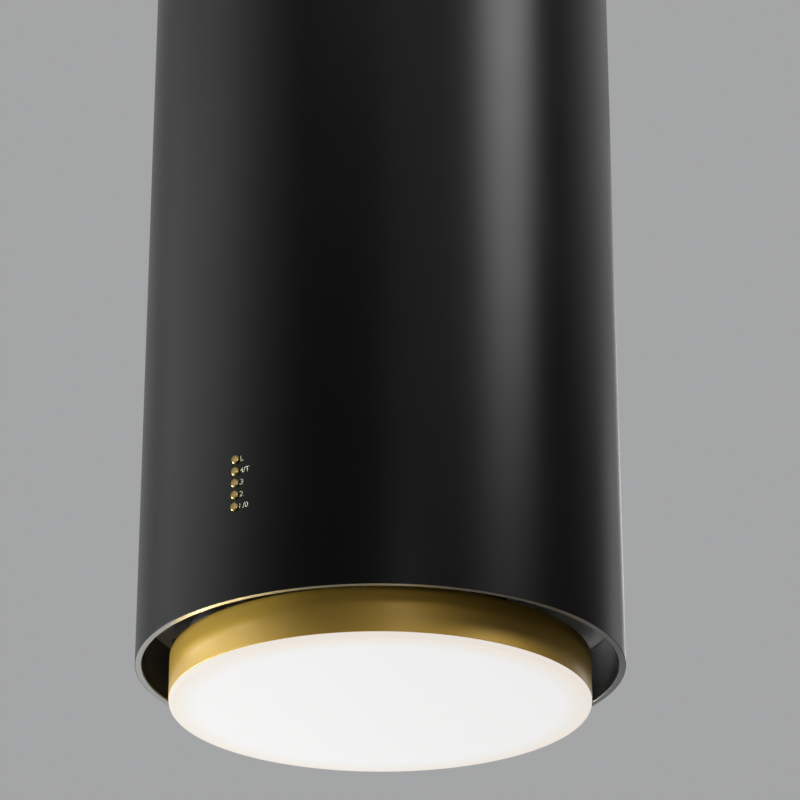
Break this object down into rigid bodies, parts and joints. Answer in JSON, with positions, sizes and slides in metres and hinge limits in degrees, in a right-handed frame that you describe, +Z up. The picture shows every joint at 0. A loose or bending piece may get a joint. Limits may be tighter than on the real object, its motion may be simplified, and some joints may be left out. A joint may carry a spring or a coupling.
{
  "type": "island range hood",
  "caption": "Round ceiling-hung cooker hood: a satin black tube with a gold-rimmed lamp disc hung in its mouth, an air gap round the lamp and a column of gold push buttons.",
  "frame": {"origin": "centre of the ceiling plate's top face, at the ceiling", "axes": "+Z up out of the ceiling plate, -Y to the front, +X to the right seen from the front"},
  "size_m": [0.4044, 0.4044, 0.8827],
  "materials": {
    "casing_black": "satin powder coat",
    "black_screw": "black oxide",
    "deck_black": "gloss paint",
    "galvanised_steel": "galvanised",
    "screw_steel": "zinc plated",
    "scroll_plastic": "moulded",
    "impeller_plastic": "moulded",
    "motor_steel": "zinc plated",
    "winding_copper": "enamelled copper",
    "filter_aluminium": "mill finish",
    "knob_plastic": "moulded",
    "satin_gold": "satin",
    "lamp_plate_aluminium": "white coated",
    "led_yellow": "phosphor",
    "opal_diffuser": "opal satin",
    "nickel": "nickel plated",
    "board_green": "solder mask",
    "driver_white": "moulded"
  },
  "bodies": {
    "hood_body": {"blower_plate": "galvanised_steel", "blower_plate_screws": "screw_steel", "button_board": "board_green", "button_carrier": "galvanised_steel", "cable_gland": "knob_plastic", "casing_screws": "black_screw", "ceiling_plate": "galvanised_steel", "control_board": "board_green", "control_box": "galvanised_steel", "control_lid": "galvanised_steel", "deck_plate": "deck_black", "flap_pin": "screw_steel", "frame_upright_1": "galvanised_steel", "frame_upright_2": "galvanised_steel", "frame_upright_3": "galvanised_steel", "frame_upright_4": "galvanised_steel", "hanger_magnets": "nickel", "hanger_screws": "screw_steel", "inlet_ring_right": "scroll_plastic", "lamp_hanger_1": "deck_black", "lamp_hanger_2": "deck_black", "lamp_hanger_3": "deck_black", "led_driver": "driver_white", "motor_bearings": "screw_steel", "motor_can": "motor_steel", "motor_end_cap": "motor_steel", "motor_spider": "impeller_plastic", "outer_tube": "casing_black", "outlet_spigot": "scroll_plastic", "scroll_left": "scroll_plastic", "scroll_right": "scroll_plastic", "scroll_screws": "screw_steel", "spigot_screws": "screw_steel", "stator": "winding_copper", "tact_switches": "knob_plastic", "upright_screws": "screw_steel"},
    "fan": {"rotor": "motor_steel", "fan_shaft": "screw_steel", "impeller_disc": "impeller_plastic", "impeller_blades": "impeller_plastic", "impeller_rings": "impeller_plastic", "shaft_nut": "screw_steel"},
    "front_flap": {"flap_front": "scroll_plastic"},
    "rear_flap": {"flap_rear": "scroll_plastic"},
    "filter": {"filter_frame": "filter_aluminium", "filter_mesh_lower": "filter_aluminium", "filter_mesh_upper": "filter_aluminium", "filter_knob": "knob_plastic"},
    "lamp": {"lamp_ring": "satin_gold", "lamp_top_plate": "lamp_plate_aluminium", "lamp_plate_screws": "screw_steel", "led_board": "lamp_plate_aluminium", "leds": "led_yellow", "diffuser": "opal_diffuser", "lamp_posts": "nickel"},
    "light_button": {"button_light": "satin_gold"},
    "speed_4_button": {"button_speed_4": "satin_gold"},
    "speed_3_button": {"button_speed_3": "satin_gold"},
    "speed_2_button": {"button_speed_2": "satin_gold"},
    "power_button": {"button_power": "satin_gold"}
  },
  "joints": [
    {"name": "fan_spin", "type": "hinge", "parent": "hood_body", "child": "fan", "pos_m": [0, -0.0685, -0.635], "axis": [1, 0, 0], "continuous": true},
    {"name": "flap_front_swing", "type": "hinge", "parent": "hood_body", "child": "front_flap", "pos_m": [0, 0, -0.4472], "axis": [-1, 0, 0], "range_deg": [0, 75]},
    {"name": "flap_rear_swing", "type": "hinge", "parent": "hood_body", "child": "rear_flap", "pos_m": [0, 0, -0.4472], "axis": [1, 0, 0], "range_deg": [0, 75]},
    {"name": "filter_twist", "type": "hinge", "parent": "hood_body", "child": "filter", "pos_m": [0, 0, -0.8024], "axis": [0, 0, 1], "range_deg": [0, 28]},
    {"name": "lamp_drop", "type": "slide", "parent": "hood_body", "child": "lamp", "axis": [0, 0, -1], "range_m": [0, 0.12]},
    {"name": "light_button_press", "type": "slide", "parent": "hood_body", "child": "light_button", "axis": [0.5645, 0.8254, 0], "range_m": [0, 0.0012], "stiffness_N_per_m": 300},
    {"name": "speed_4_button_press", "type": "slide", "parent": "hood_body", "child": "speed_4_button", "axis": [0.5645, 0.8254, 0], "range_m": [0, 0.0012], "stiffness_N_per_m": 300},
    {"name": "speed_3_button_press", "type": "slide", "parent": "hood_body", "child": "speed_3_button", "axis": [0.5645, 0.8254, 0], "range_m": [0, 0.0012], "stiffness_N_per_m": 300},
    {"name": "speed_2_button_press", "type": "slide", "parent": "hood_body", "child": "speed_2_button", "axis": [0.5645, 0.8254, 0], "range_m": [0, 0.0012], "stiffness_N_per_m": 300},
    {"name": "power_button_press", "type": "slide", "parent": "hood_body", "child": "power_button", "axis": [0.5645, 0.8254, 0], "range_m": [0, 0.0012], "stiffness_N_per_m": 300}
  ]
}
